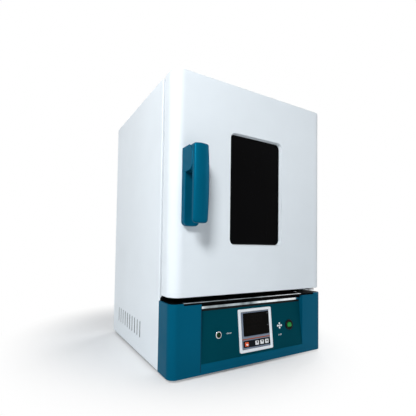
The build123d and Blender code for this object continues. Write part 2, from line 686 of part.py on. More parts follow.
console_edge = 1.0
for side, name in ((-1, "console_left_corner"), (1, "console_right_corner")):
    with BuildPart() as corner:
        outer = side * half
        inner = side * recess_half_width
        with BuildSketch(Plane.XY.offset(base - sheet)) as corner_plan:
            with Locations(((outer + inner) / 2, (console_front + front) / 2)):
                Rectangle(abs(outer - inner), front - console_front)
            front_corners = corner_plan.vertices().group_by(Axis.Y)[0].sort_by(Axis.X)
            fillet(front_corners[0] if side < 0 else front_corners[-1], console_radius)
            offset(amount=-console_wall, kind=Kind.INTERSECTION, mode=Mode.SUBTRACT)
        extrude(amount=console_height + sheet)
        outside = corner.faces().filter_by(GeomType.CYLINDER).sort_by(SortBy.AREA)[-1]
        fillet(outside.edges().sort_by(Axis.Z)[-1], console_edge)
        fillet(outside.edges().sort_by(Axis.Z)[0], console_edge)
        # round the base plate only the outer and front walls reach down
        with BuildSketch(Plane.XY.offset(base - sheet)) as skirt_opening:
            far_x = outer - side * console_wall
            with Locations(((far_x + inner - side) / 2, (console_front + console_wall + front + 1) / 2)):
                Rectangle(abs(far_x - inner + side), front + 1 - console_front - console_wall)
            front_corners = skirt_opening.vertices().group_by(Axis.Y)[0].sort_by(Axis.X)
            fillet(front_corners[0] if side < 0 else front_corners[-1], console_radius - console_wall)
        extrude(amount=sheet, mode=Mode.SUBTRACT)
        cut_x = side * rim_start
        block(min(inner - side, cut_x), max(inner - side, cut_x), console_front - 1, front + 1,
              fascia_top, rim_top + 1, mode=Mode.SUBTRACT)
    save(corner, name)

sill_top = 17.0
with BuildPart() as console_sill:
    with BuildSketch(Plane.YZ.offset(-recess_half_width)) as sill_side:
        with BuildLine():
            Polyline((console_front, base - sheet), (console_front, base + sill_top),
                     (panel_low_y, panel_low_z), (panel_low_y + 5, panel_low_z),
                     (console_front + console_wall, base + sill_top - 2),
                     (console_front + console_wall, base - sheet), close=True)
        make_face()
        fillet(sill_side.vertices().sort_by(Axis.Y)[:2].sort_by(Axis.X)[0], console_edge)
    extrude(amount=2 * recess_half_width)
save(console_sill, "console_sill")

lip_left, lip_right = console_wall - half, hinge_x - 18.0
lip_height, lip_depth = 9.2, 8.0
with BuildPart() as console_deck:
    with BuildSketch(Plane.XY.offset(deck_z)) as deck_plan:
        deck_back = front - console_wall
        with Locations((0, (console_front + console_wall + deck_back) / 2)):
            Rectangle(width - 2 * console_wall, deck_back - console_front - console_wall)
        fillet(deck_plan.vertices().group_by(Axis.Y)[0], console_radius - console_wall)
        with Locations((0, (console_front + 2 + front) / 2)):
            Rectangle(2 * rim_start, front - console_front - 2)
    extrude(amount=deck_thickness)
    block(-recess_half_width, recess_half_width, console_front + 10, console_front + 14,
          panel_high_z + part_gap, deck_z)
    # the draught lip that closes the gap between the deck and the door
    with BuildSketch(Plane.XZ.offset(-front)) as lip_outline:
        with Locations((lip_left, rim_top)):
            Rectangle(lip_right - lip_left, lip_height, align=(Align.MIN, Align.MIN))
        fillet(lip_outline.vertices().group_by(Axis.Y)[-1].sort_by(Axis.X)[0], lip_height - 3)
    extrude(amount=lip_depth)
save(console_deck, "console_deck")

strip_right = 140.0
with BuildPart() as deck_edge_strip:
    block(-rim_start, strip_right, console_front + 1, console_front + 9,
          deck_z + deck_thickness, deck_z + deck_thickness + 1.2)
    fillet(deck_edge_strip.edges().filter_by(Axis.X), 0.4)
save(deck_edge_strip, "deck_edge_strip")

# ---------------------------------------------------------------- control panel and controller
controller_v = 0.6
bezel_width, bezel_height, bezel_radius = 94.0, 91.5, 3.0
housing_size = 88.0
button_x, button_v = -100.6, 0.0
button_ring_radius, button_radius, button_barrel = 7.4, 5.2, 6.6
rocker_x, rocker_v = 104.6, -0.9
rocker_ring_radius, rocker_barrel = 11.8, 10.4
rocker_radius, rocker_lens_radius, rocker_bore = 6.0, 6.3, 7.4

with BuildPart() as control_panel:
    with BuildSketch(face) as panel_outline:
        with Locations((0, (panel_low_v + panel_high_v + part_gap) / 2)):
            Rectangle(2 * recess_half_width, panel_high_v - panel_low_v - part_gap)
        with Locations((0, controller_v)):
            Rectangle(housing_size + 1, housing_size + 1, mode=Mode.SUBTRACT)
        with Locations((button_x, button_v)):
            Circle(button_barrel, mode=Mode.SUBTRACT)
        with Locations((rocker_x, rocker_v)):
            Circle(rocker_barrel, mode=Mode.SUBTRACT)
    extrude(amount=-panel_sheet)
save(control_panel, "control_panel")

trim_height = 5.5
with BuildPart() as panel_trim:
    with BuildSketch(face) as trim_outline:
        with Locations((0, panel_high_v - 0.5 - trim_height / 2)):
            Rectangle(2 * recess_half_width - 1, trim_height)
    extrude(amount=1.5)
    fillet(panel_trim.edges().filter_by(Axis.X), 0.7)
save(panel_trim, "panel_trim")

housing_face = 2.0
housing_depth = 70.0
bezel_depth = 3.5
with BuildPart() as controller_housing:
    with BuildSketch(face.offset(-housing_depth)) as housing_outline:
        with Locations((0, controller_v)):
            RectangleRounded(housing_size, housing_size, 2)
    extrude(amount=housing_depth + housing_face)
save(controller_housing, "controller_housing")

with BuildPart() as controller_bezel:
    with BuildSketch(face) as bezel_outline:
        with Locations((0, controller_v)):
            RectangleRounded(bezel_width, bezel_height, bezel_radius)
    extrude(amount=bezel_depth)
    fillet(controller_bezel.edges().filter_by(GeomType.CIRCLE).group_by(Axis.Y)[0], 0.8)
    with BuildSketch(face) as bezel_pocket:
        with Locations((0, controller_v)):
            RectangleRounded(housing_size, housing_size, 2)
    extrude(amount=housing_face, mode=Mode.SUBTRACT)
    with BuildSketch(face.offset(housing_face)) as bezel_throat:
        with Locations((0, controller_v)):
            RectangleRounded(80.5, 79, 1)
    with BuildSketch(face.offset(bezel_depth)) as bezel_mouth:
        with Locations((0, controller_v)):
            RectangleRounded(84, 82, 2)
    loft(mode=Mode.SUBTRACT)
save(controller_bezel, "controller_bezel")

display_x, display_v = 1.5, 13.0
with BuildPart() as controller_display:
    with BuildSketch(face.offset(housing_face)) as display_outline:
        with Locations((display_x, display_v)):
            RectangleRounded(73, 49, 1.5)
    extrude(amount=1.5)
save(controller_display, "controller_display")

key_v = -28.0
keys = (("key_set", -28.9), ("key_shift", 0.0), ("key_down", 14.3), ("key_up", 28.6))
key_width, key_height = 9.6, 8.8
key_back, key_rise = 1.0, 1.2
keypad_thickness = 1.2
with BuildPart() as controller_keypad:
    with BuildSketch(face.offset(housing_face)) as keypad_outline:
        with Locations((0.75, key_v)):
            RectangleRounded(75.5, 14, 1.5)
        for _, key_u in keys:
            with Locations((key_u, key_v)):
                Rectangle(key_width + 2 * part_gap, key_height + 2 * part_gap, mode=Mode.SUBTRACT)
    extrude(amount=keypad_thickness)
save(controller_keypad, "controller_keypad")

for name, key_u in keys:
    with BuildPart() as key:
        with BuildSketch(face.offset(housing_face + key_back)) as key_outline:
            with Locations((key_u, key_v)):
                RectangleRounded(key_width, key_height, 1.2)
        extrude(amount=key_rise)
        fillet(key.faces().sort_by(Axis.Y)[0].edges(), 0.5)
    save(key, name)

ring_depth, ring_proud = 18.0, 2.5
with BuildPart() as power_button_ring:
    with BuildSketch(face.offset(-ring_depth)) as ring_barrel:
        with Locations((button_x, button_v)):
            Circle(button_barrel)
    extrude(amount=ring_depth)
    with BuildSketch(face) as ring_flange:
        with Locations((button_x, button_v)):
            Circle(button_ring_radius)
    extrude(amount=ring_proud)
    fillet(power_button_ring.faces().sort_by(Axis.Y)[0].edges(), 1)
    with BuildSketch(face.offset(-ring_depth - 1)) as ring_bore:
        with Locations((button_x, button_v)):
            Circle(button_radius + part_gap)
    extrude(amount=ring_depth + ring_proud + 2, mode=Mode.SUBTRACT)
save(power_button_ring, "power_button_ring")

button_length, button_face = 10.6, 0.6
with BuildPart() as power_button:
    with BuildSketch(face.offset(button_face - button_length)) as button_outline:
        with Locations((button_x, button_v)):
            Circle(button_radius)
    extrude(amount=button_length)
    fillet(power_button.faces().sort_by(Axis.Y)[0].edges(), 1)
save(power_button, "power_button")

rocker_depth = 1.5
rocker_turn = 8.0
rocker_crown = 4.6
switch_depth, switch_proud = 14.0, 2.4
with BuildPart() as fan_switch_bezel:
    with BuildSketch(face.offset(-switch_depth)) as switch_barrel:
        with Locations((rocker_x, rocker_v)):
            Circle(rocker_barrel)
    extrude(amount=switch_depth)
    with BuildSketch(face) as switch_flange:
        with Locations((rocker_x, rocker_v)):
            Circle(rocker_ring_radius)
    extrude(amount=switch_proud)
    fillet(fan_switch_bezel.faces().sort_by(Axis.Y)[0].edges(), 1.2)
    with BuildSketch(face.offset(-switch_depth - 1)) as switch_bore:
        with Locations((rocker_x, rocker_v)):
            Circle(rocker_bore)
    extrude(amount=switch_depth + switch_proud + 2, mode=Mode.SUBTRACT)
save(fan_switch_bezel, "fan_switch_bezel")

# a drum on a level axis, trimmed round, with a flat crown that leans to the side it is set to
rocker_axis = face.from_local_coords((rocker_x, rocker_v, -rocker_depth))
with BuildPart() as fan_switch_rocker:
    with BuildSketch(Plane(origin=rocker_axis - (rocker_lens_radius, 0, 0), x_dir=(0, 1, 0),
                           z_dir=(1, 0, 0))) as rocker_side:
        Circle(rocker_radius)
    extrude(amount=2 * rocker_lens_radius)
    with BuildSketch(Plane(origin=rocker_axis, x_dir=(1, 0, 0),
                           z_dir=screen_normal)) as rocker_lens:
        Circle(rocker_lens_radius)
    extrude(amount=rocker_radius + 1, both=True, mode=Mode.INTERSECT)
    lean = slope + radians(rocker_turn)
    crown_plane = Plane(origin=rocker_axis + Vector(0, -cos(lean), sin(lean)) * rocker_crown,
                        z_dir=(0, -cos(lean), sin(lean)))
    split(bisect_by=crown_plane, keep=Keep.BOTTOM)
save(fan_switch_rocker, "fan_switch_rocker")

# ---------------------------------------------------------------- shelves
shelf_half = mouth_half - 6.0
shelf_front = front + 20.0
shelf_back = front + 188.0
wire_radius = 1.25
for level, name in zip(shelf_levels, ("shelf_lower", "shelf_upper")):
    with BuildPart() as shelf:
        shelf_z = mouth_low + level
        bar = shelf_rod / 2
        for y in (shelf_front + bar, shelf_back - bar):
            rod_x(y, shelf_z, -shelf_half + bar, shelf_half - bar, bar)
        for x in (-shelf_half + bar, shelf_half - bar):
            rod_y(x, shelf_z, shelf_front + bar, shelf_back - bar, bar)
            for y in (shelf_front + bar, shelf_back - bar):
                with Locations((x, y, shelf_z)):
                    Sphere(bar)
        with Locations(Location((0, (shelf_front + shelf_back) / 2, shelf_z), (90, 0, 0))):
            with GridLocations(20, 1, 13, 1):
                Cylinder(wire_radius, shelf_back - shelf_front - 2 * bar)
    save(shelf, name)

# ---------------------------------------------------------------- base, rear and electronics
foot_x, foot_front, foot_rear, foot_radius = 178.0, 40.0, 35.0, 16.0
with BuildPart() as feet:
    with BuildSketch(Plane.XY) as foot_plan:
        for x in (-foot_x, foot_x):
            for y in (console_front + foot_front, rear - foot_rear):
                with Locations((x, y)):
                    Circle(foot_radius)
    extrude(amount=base - sheet)
    chamfer(feet.edges().group_by(Axis.Z)[0], 1.5)
save(feet, "feet")

with BuildPart() as power_inlet:
    block(inlet_x - inlet_width / 2, inlet_x + inlet_width / 2, rear - 20, rear,
          inlet_z - inlet_height / 2, inlet_z + inlet_height / 2)
    block(inlet_x - 25, inlet_x + 25, rear, rear + inlet_proud, inlet_z - 12, inlet_z + 12)
    fillet(power_inlet.edges().filter_by(Axis.Y).group_by(SortBy.LENGTH)[0], 3)
    block(inlet_x - 12.3, inlet_x + 12.3, rear - 15, rear + 3, inlet_z - 8.3, inlet_z + 8.3,
          mode=Mode.SUBTRACT)
    for pin_x, pin_z in ((-7, -1), (7, -1), (0, 4)):
        block(inlet_x + pin_x - 1, inlet_x + pin_x + 1, rear - 16, rear - 2,
              inlet_z + pin_z - 2, inlet_z + pin_z + 2)
save(power_inlet, "power_inlet")

with BuildPart() as cabinet_screws:
    for x, z in screw_places:
        rod_y(x, z, rear - sheet, rear, screw_radius)
        rod_y(x, z, rear, rear + 2, 3.8)
    fillet(cabinet_screws.edges().group_by(Axis.Y)[-1], 0.9)
    for x, z in screw_places:
        block(x - 2.4, x + 2.4, rear + 1, rear + 3, z - 0.4, z + 0.4, mode=Mode.SUBTRACT)
        block(x - 0.4, x + 0.4, rear + 1, rear + 3, z - 2.4, z + 2.4, mode=Mode.SUBTRACT)
save(cabinet_screws, "cabinet_screws")

board_x, board_y, board_z = -40.0, front + 110.0, base + 14.0
board_half_x, board_half_y, stand_inset = 70.0, 45.0, 6.0
with BuildPart() as circuit_board:
    block(board_x - board_half_x, board_x + board_half_x, board_y - board_half_y,
          board_y + board_half_y, board_z, board_z + 1.6)
    for x in (stand_inset - board_half_x, board_half_x - stand_inset):
        for y in (stand_inset - board_half_y, board_half_y - stand_inset):
            rod_z(board_x + x, board_y + y, base, board_z, 3)
    for x, y in ((-50, 20), (-30, 20), (-10, -25)):
        rod_z(board_x + x, board_y + y, board_z, board_z + 22, 8)
    block(board_x + 15, board_x + 50, board_y - 30, board_y + 5, board_z, board_z + 26)
save(circuit_board, "circuit_board")

relay_left, relay_right, fin_pitch, fin_height = 70, 130, 8, 30.0
with BuildPart() as heater_relay:
    block(relay_left, relay_right, board_y - 40, board_y + 50, base, base + 5)
    for x in range(relay_left + 2, relay_right - 1, fin_pitch):
        block(x, x + 2, board_y - 40, board_y + 50, base, base + fin_height)
save(heater_relay, "heater_relay")
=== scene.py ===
import json
from math import cos, pi, radians, sin

import bmesh
import bpy
from mathutils import Matrix, Vector


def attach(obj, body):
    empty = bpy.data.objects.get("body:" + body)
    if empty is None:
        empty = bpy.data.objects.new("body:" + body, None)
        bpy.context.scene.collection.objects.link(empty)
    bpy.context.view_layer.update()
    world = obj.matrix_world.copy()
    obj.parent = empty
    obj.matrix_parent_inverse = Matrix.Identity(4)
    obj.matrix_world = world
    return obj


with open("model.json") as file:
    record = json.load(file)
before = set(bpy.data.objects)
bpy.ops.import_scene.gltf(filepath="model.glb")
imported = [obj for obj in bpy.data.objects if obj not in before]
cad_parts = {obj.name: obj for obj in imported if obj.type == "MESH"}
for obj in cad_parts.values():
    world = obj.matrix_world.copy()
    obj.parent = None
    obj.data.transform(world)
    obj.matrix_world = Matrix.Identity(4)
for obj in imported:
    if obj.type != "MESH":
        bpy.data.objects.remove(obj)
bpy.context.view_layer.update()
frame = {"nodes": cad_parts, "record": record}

# Benchtop drying oven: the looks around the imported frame. +Z is up and the front faces -Y.
# Pieces are laid out in millimetres, times MM; the camera, the floor and the lamps are in metres.
MM = 0.001
scene = bpy.context.scene
scene.view_settings.view_transform = "Standard"

# ---------------------------------------------------------------- camera
IMAGE_WIDTH_PX = 416
FOCAL_PX = 296.93
SENSOR_MM = 36.0
CAMERA_PLACE = Vector((-0.4642, -0.6695, 0.2623))
YAW, PITCH, ROLL = radians(28.06), radians(1.96), radians(0.99)
SHIFT_X, SHIFT_Y = 0.0653, 0.0645

forward = Vector((sin(YAW) * cos(PITCH), cos(YAW) * cos(PITCH), sin(PITCH)))
right = Vector((cos(YAW), -sin(YAW), 0))
above = right.cross(forward)
camera_x = right * cos(ROLL) + above * sin(ROLL)
camera_y = above * cos(ROLL) - right * sin(ROLL)
camera = bpy.data.objects.new("camera", bpy.data.cameras.new("camera"))
scene.collection.objects.link(camera)
camera.matrix_world = (Matrix.Translation(CAMERA_PLACE)
                       @ Matrix((camera_x, camera_y, -forward)).transposed().to_4x4())
camera.data.sensor_width = SENSOR_MM
camera.data.lens = SENSOR_MM * FOCAL_PX / IMAGE_WIDTH_PX
camera.data.shift_x, camera.data.shift_y = SHIFT_X, SHIFT_Y
camera.data.clip_start = 0.01
scene.camera = camera


# ---------------------------------------------------------------- materials
def srgb(red, green, blue):
    """A colour written as 0-255 screen values, as Blender's linear colour."""
    linear = [(c / 12.92 if c <= 0.04045 else ((c + 0.055) / 1.055) ** 2.4)
              for c in (red / 255, green / 255, blue / 255)]
    return (*linear, 1.0)


class Finish:
    """A Principled material with helpers for procedural variation in object space."""

    def __init__(self, name, **values):
        self.material = bpy.data.materials.new(name)
        self.material.use_nodes = True
        self.tree = self.material.node_tree
        self.shader = self.tree.nodes["Principled BSDF"]
        self.place = self.tree.nodes.new("ShaderNodeTexCoord").outputs["Object"]
        self.bump_normal = None
        for socket, value in values.items():
            self.shader.inputs[socket.replace("_", " ")].default_value = value

    def node(self, kind, **settings):
        made = self.tree.nodes.new(kind)
        for key, value in settings.items():
            setattr(made, key, value)
        return made

    def stretched(self, scale):
        """Object coordinates multiplied by a factor for each axis."""
        mapping = self.node("ShaderNodeMapping")
        mapping.inputs["Scale"].default_value = scale
        self.tree.links.new(self.place, mapping.inputs["Vector"])
        return mapping.outputs["Vector"]

    def noise(self, scale, detail=3.0, stretch=None, distortion=0.0):
        noise = self.node("ShaderNodeTexNoise")
        noise.inputs["Scale"].default_value = scale
        noise.inputs["Detail"].default_value = detail
        noise.inputs["Distortion"].default_value = distortion
        self.tree.links.new(self.stretched(stretch) if stretch else self.place,
                            noise.inputs["Vector"])
        return noise.outputs["Fac"]

    def cells(self, scale, stretch=None):
        cells = self.node("ShaderNodeTexVoronoi")
        cells.inputs["Scale"].default_value = scale
        self.tree.links.new(self.stretched(stretch) if stretch else self.place,
                            cells.inputs["Vector"])
        return cells.outputs["Distance"]

    def ramp(self, source, stops):
        ramp = self.node("ShaderNodeValToRGB")
        elements = ramp.color_ramp.elements
        while len(elements) < len(stops):
            elements.new(0.5)
        for element, (position, colour) in zip(elements, stops):
            element.position = position
            element.color = colour
        self.tree.links.new(source, ramp.inputs["Fac"])
        return ramp.outputs["Color"]

    def tint(self, source, stops):
        """Base colour that follows a texture."""
        self.tree.links.new(self.ramp(source, stops), self.shader.inputs["Base Color"])
        return self

    def vary(self, socket, source, low, high):
        """A shader value that follows a texture between two levels."""
        level = self.node("ShaderNodeMapRange")
        level.inputs["To Min"].default_value = low
        level.inputs["To Max"].default_value = high
        self.tree.links.new(source, level.inputs["Value"])
        self.tree.links.new(level.outputs["Result"], self.shader.inputs[socket])
        return self

    def bump(self, source, depth_mm, strength=1.0):
        """Relief of about the given depth; calls add up."""
        bump = self.node("ShaderNodeBump")
        bump.inputs["Strength"].default_value = strength
        bump.inputs["Distance"].default_value = depth_mm * MM
        self.tree.links.new(source, bump.inputs["Height"])
        if self.bump_normal:
            self.tree.links.new(self.bump_normal, bump.inputs["Normal"])
        self.bump_normal = bump.outputs["Normal"]
        self.tree.links.new(self.bump_normal, self.shader.inputs["Normal"])
        return self


def shades(colour, spread):
    """Two stops around a colour, for slow variation across a surface."""
    low = tuple(c * (1 - spread) for c in colour[:3])
    high = tuple(min(1.0, c * (1 + spread)) for c in colour[:3])
    return [(0.35, (*low, 1.0)), (0.65, (*high, 1.0))]


def powder_coat(name, colour, roughness, spread=0.015, peel_mm=0.012, gloss=0.5, index=1.5,
                flake=0.0):
    """Sprayed enamel, plain or with metal flake: orange peel, dust specks and cloudy gloss."""
    finish = Finish(name, IOR=index, Specular_IOR_Level=gloss, Metallic=flake)
    finish.tint(finish.noise(9.0, 4.0), shades(colour, spread))
    finish.vary("Roughness", finish.noise(38.0, 5.0), roughness - 0.06, roughness + 0.08)
    finish.bump(finish.noise(420.0, 2.0), peel_mm)
    finish.bump(finish.noise(2600.0, 2.0), 0.002, 0.6)
    return finish.material


def plastic(name, colour, roughness, spread=0.03, grain_mm=0.004, gloss=0.5, index=1.49,
            flake=0.0):
    """Injection-moulded plastic with a fine spark-eroded grain, or with metal flake in it."""
    finish = Finish(name, IOR=index, Specular_IOR_Level=gloss, Metallic=flake)
    finish.tint(finish.noise(24.0, 3.0), shades(colour, spread))
    finish.vary("Roughness", finish.noise(140.0, 4.0), roughness - 0.05, roughness + 0.07)
    finish.bump(finish.cells(3200.0), grain_mm)
    return finish.material


def metal(name, colour, roughness, lines, spread=0.05, depth_mm=0.003):
    """Metal whose grinding or rolling lines run along the axis with the small factor."""
    finish = Finish(name, Metallic=1.0)
    streaks = finish.noise(60.0, 6.0, stretch=lines)
    finish.tint(finish.noise(14.0, 4.0, stretch=lines), shades(colour, spread))
    finish.vary("Roughness", streaks, roughness * 0.75, roughness * 1.3)
    finish.bump(finish.noise(220.0, 5.0, stretch=lines), depth_mm)
    return finish.material


def strip_with_painted_reflections():
    """Polished rolled strip, slightly wavy; its base colour runs in waves from dark to bright
    along it, painted reflections that make its brightness wander.
    """
    finish = Finish("polished_strip", Metallic=1.0)
    waves_and_painted_reflections = finish.noise(14.0, 3.0, stretch=(1.0, 0.3, 0.3))
    # the dark and bright stops paint reflections into the strip's colour
    finish.tint(waves_and_painted_reflections, [(0.35, srgb(86, 94, 98)), (0.5, srgb(176, 186, 191)),
                        (0.62, srgb(236, 241, 244))])
    finish.vary("Roughness", finish.noise(60.0, 4.0, stretch=(0.1, 1.0, 1.0)), 0.1, 0.2)
    finish.bump(waves_and_painted_reflections, 0.3)
    return finish.material


def galvanised():
    """Zinc-plated sheet with faint spangle."""
    finish = Finish("zinc_plate", Metallic=1.0)
    spangle = finish.cells(90.0)
    finish.tint(spangle, shades(srgb(190, 193, 196), 0.14))
    finish.vary("Roughness", finish.noise(180.0, 4.0), 0.28, 0.5)
    finish.bump(finish.noise(900.0, 3.0), 0.004)
    return finish.material


def wool():
    """Mineral wool: fibrous ochre mat."""
    finish = Finish("mineral_wool", Roughness=0.95, Sheen_Weight=0.3)
    fibres = finish.noise(160.0, 8.0, stretch=(1.0, 1.0, 4.0), distortion=1.2)
    finish.tint(fibres, [(0.3, srgb(150, 138, 92)), (0.7, srgb(206, 198, 158))])
    finish.bump(fibres, 1.2)
    return finish.material


def rubber(name, colour, roughness):
    """Moulded rubber with talc bloom and fine pores."""
    finish = Finish(name, Specular_IOR_Level=0.12)
    finish.tint(finish.noise(60.0, 6.0), shades(colour, 0.12))
    finish.vary("Roughness", finish.noise(300.0, 4.0), roughness - 0.1, roughness + 0.06)
    finish.bump(finish.cells(1400.0), 0.02)
    return finish.material


def pane():
    """Dark tinted oven glass with the faintest unevenness of float glass and wiping marks."""
    finish = Finish("dark_glass", IOR=1.12, Specular_IOR_Level=0.3)
    finish.tint(finish.noise(6.0, 2.0), [(0.3, (0.0008, 0.0008, 0.001, 1.0)),
                                         (0.7, (0.0016, 0.0016, 0.002, 1.0))])
    finish.vary("Roughness", finish.noise(20.0, 6.0, stretch=(1.0, 1.0, 0.2)), 0.02, 0.07)
    finish.bump(finish.noise(4.0, 1.0), 0.03, 0.3)
    return finish.material


def heated_steel():
    """Heater sheath, straw to blue heat tints over dull steel."""
    finish = Finish("heater_steel", Metallic=0.85)
    finish.tint(finish.noise(26.0, 4.0), [(0.25, srgb(92, 78, 70)), (0.5, srgb(120, 104, 84)),
                                         (0.75, srgb(74, 78, 96))])
    finish.vary("Roughness", finish.noise(200.0, 4.0), 0.4, 0.65)
    finish.bump(finish.noise(700.0, 3.0), 0.01)
    return finish.material


def lens():
    """Green translucent lamp cap with moulded ribs and a glow from inside."""
    finish = Finish("green_lens", Roughness=0.16, Specular_IOR_Level=0.25)
    ribs = finish.noise(220.0, 2.0, stretch=(3.0, 0.4, 0.4))
    finish.tint(ribs, [(0.3, srgb(4, 90, 28)), (0.7, srgb(24, 150, 60))])
    finish.shader.inputs["Emission Color"].default_value = srgb(30, 190, 80)
    finish.shader.inputs["Emission Strength"].default_value = 0.1
    finish.bump(ribs, 0.05)
    return finish.material


def board():
    """Circuit board: green mask over faint tracks."""
    finish = Finish("circuit_green", IOR=1.5)
    tracks = finish.cells(260.0, stretch=(1.0, 0.35, 1.0))
    finish.tint(tracks, [(0.35, srgb(10, 66, 34)), (0.45, srgb(22, 108, 58))])
    finish.vary("Roughness", finish.noise(120.0, 3.0), 0.25, 0.45)
    finish.bump(tracks, 0.03)
    return finish.material


def smoked_lens_painted_light():
    """Smoked cap of the power button, green in patches where its lamp shows through: painted light
    in its base colour.
    """
    finish = Finish("smoked_lens_painted_light", Roughness=0.1, Specular_IOR_Level=0.08)
    # the green stop is painted lamp light, the dark stop the cap's own colour
    finish.tint(finish.noise(420.0, 2.0, stretch=(1.0, 1.0, 2.0)),
                [(0.4, srgb(3, 8, 5)), (0.62, srgb(6, 70, 24))])
    finish.bump(finish.cells(900.0), 0.02)
    return finish.material


def print_ink(name, colour):
    """Screen-printed ink: nearly flat, with the mesh of the screen in it."""
    finish = Finish(name, IOR=1.45)
    finish.tint(finish.noise(300.0, 4.0), shades(colour, 0.03))
    finish.vary("Roughness", finish.noise(500.0, 3.0), 0.4, 0.6)
    finish.bump(finish.cells(5200.0), 0.004)
    return finish.material


WHITE = srgb(226, 234, 240)
TEAL = srgb(0, 84, 112)
FINISHES = {
    "white_paint": powder_coat("white_paint", WHITE, 0.36, gloss=0.22),
    "teal_paint": powder_coat("teal_paint", TEAL, 0.36, spread=0.04, gloss=0.2, index=1.15,
                              flake=0.2),
    "panel_teal": powder_coat("panel_teal", srgb(0, 64, 77), 0.42, spread=0.03, peel_mm=0.006,
                              gloss=0.2, index=1.1),
    "teal_plastic": plastic("teal_plastic", TEAL, 0.36, gloss=0.3, index=1.1, flake=0.35),
    "black_paint": powder_coat("black_paint", srgb(6, 6, 7), 0.45, spread=0.2, gloss=0.2,
                               index=1.1),
    "stainless": metal("stainless", srgb(202, 204, 206), 0.32, (0.06, 1.0, 1.0)),
    "polished_strip": strip_with_painted_reflections(),
    "zinc_plate": galvanised(),
    "steel_pin": metal("steel_pin", srgb(196, 198, 200), 0.22, (1.0, 0.15, 1.0)),
    "brass_bush": metal("brass_bush", srgb(196, 158, 86), 0.3, (1.0, 1.0, 0.2)),
    "magnet_black": plastic("magnet_black", srgb(30, 30, 31), 0.5, spread=0.1),
    "silicone_white": rubber("silicone_white", srgb(216, 216, 212), 0.5),
    "rubber_black": rubber("rubber_black", srgb(16, 16, 17), 0.8),
    "mineral_wool": wool(),
    "dark_glass": pane(),
    "heater_steel": heated_steel(),
    "motor_steel": powder_coat("motor_steel", srgb(70, 72, 76), 0.5, spread=0.06),
    "fan_aluminium": metal("fan_aluminium", srgb(208, 210, 212), 0.38, (1.0, 1.0, 1.0)),
    "bezel_silver": powder_coat("bezel_silver", srgb(232, 237, 243), 0.3, spread=0.02, gloss=0.2),
    "housing_grey": plastic("housing_grey", srgb(116, 130, 150), 0.45),
    "display_black": plastic("display_black", srgb(14, 13, 12), 0.12, spread=0.15,
                             grain_mm=0.0005, gloss=0.2, index=1.12),
    "keypad_black": plastic("keypad_black", srgb(8, 14, 19), 0.4, spread=0.1, gloss=0.2,
                            index=1.25),
    "key_white": plastic("key_white", srgb(226, 228, 230), 0.4, spread=0.01),
    "key_orange": plastic("key_orange", srgb(226, 84, 26), 0.38, spread=0.04),
    "black_plastic": plastic("black_plastic", srgb(12, 12, 13), 0.3, spread=0.12, gloss=0.3,
                             index=1.25),
    "button_black": plastic("button_black", srgb(8, 16, 12), 0.2, spread=0.3, gloss=0.2,
                            index=1.25),
    "green_lens": lens(),
    "circuit_green": board(),
}
white_ink = print_ink("white_ink", srgb(232, 240, 244))
stripe_ink = print_ink("stripe_ink", srgb(150, 74, 44))
# dark ink for the printed key arrows, also used as painted shadow in the controller's seam
dark_ink_and_shadow = print_ink("dark_ink_and_shadow", srgb(34, 38, 44))
for subpart in frame["record"]["subparts"]:
    shown = frame["nodes"][subpart["node"]]
    shown.data.materials.clear()
    shown.data.materials.append(FINISHES[subpart["material_slot"]])


# ---------------------------------------------------------------- mesh helpers
SHARP_DEGREES = 40


def piece(name, mesh, slot, body, finish=None):
    """Puts a bmesh in the scene as a piece that rides on a body and takes a slot's finish."""
    data = bpy.data.meshes.new(name)
    bmesh.ops.recalc_face_normals(mesh, faces=mesh.faces)
    mesh.to_mesh(data)
    mesh.free()
    made = bpy.data.objects.new(name, data)
    scene.collection.objects.link(made)
    for polygon in data.polygons:
        polygon.use_smooth = True
    data.set_sharp_from_angle(angle=radians(SHARP_DEGREES))
    data.materials.append(finish or FINISHES[slot])
    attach(made, body)


def skin(mesh, rings):
    """Faces between neighbouring closed rings of vertices."""
    for lower, upper in zip(rings, rings[1:]):
        for i in range(len(lower)):
            j = (i + 1) % len(lower)
            mesh.faces.new((lower[i], lower[j], upper[j], upper[i]))


def prism(mesh, outline, to_space, low, high, bevel=0.0):
    """Extrudes a closed outline of (u, v) points between two heights of a local frame."""
    bottom, crown = ([mesh.verts.new(to_space(u, v, w)) for u, v in outline] for w in (low, high))
    mesh.faces.new(bottom[::-1])
    cap = mesh.faces.new(crown)
    skin(mesh, (bottom, crown))
    if bevel:
        bmesh.ops.bevel(mesh, geom=list(cap.edges), offset=bevel, segments=2, affect="EDGES",
                        profile=0.6)


def rounded(width, height, radius, centre=(0.0, 0.0), steps=5):
    """Outline of a rectangle with rounded corners."""
    points = []
    for corner, (sx, sy) in enumerate(((1, 1), (-1, 1), (-1, -1), (1, -1))):
        for step in range(steps + 1):
            angle = pi / 2 * (corner + step / steps)
            points.append((centre[0] + sx * (width / 2 - radius) + radius * cos(angle),
                           centre[1] + sy * (height / 2 - radius) + radius * sin(angle)))
    return points


def circle(radius, centre=(0.0, 0.0), steps=32):
    """Outline of a circle."""
    return [(centre[0] + radius * cos(2 * pi * i / steps),
             centre[1] + radius * sin(2 * pi * i / steps)) for i in range(steps)]


# ---------------------------------------------------------------- frame of the control panel
PANEL_TILT = radians(5.75)
PANEL_ORIGIN = Vector((0.0, -159.314, 77.5)) * MM
PANEL_UP = Vector((0, sin(PANEL_TILT), cos(PANEL_TILT)))
PANEL_OUT = Vector((0, -cos(PANEL_TILT), sin(PANEL_TILT)))


def on_panel(u, v, w):
    """A point at u along and v up the control panel, w proud of it, all in millimetres."""
    return PANEL_ORIGIN + (Vector((u, 0, 0)) + PANEL_UP * v + PANEL_OUT * w) * MM


def panel_patch(name, outlines, low, high, slot, body, bevel=0.0, finish=None):
    """A piece of flat shapes that lie on the panel between two heights."""
    mesh = bmesh.new()
    for outline in outlines:
        prism(mesh, outline, on_panel, low, high, bevel)
    piece(name, mesh, slot, body, finish)


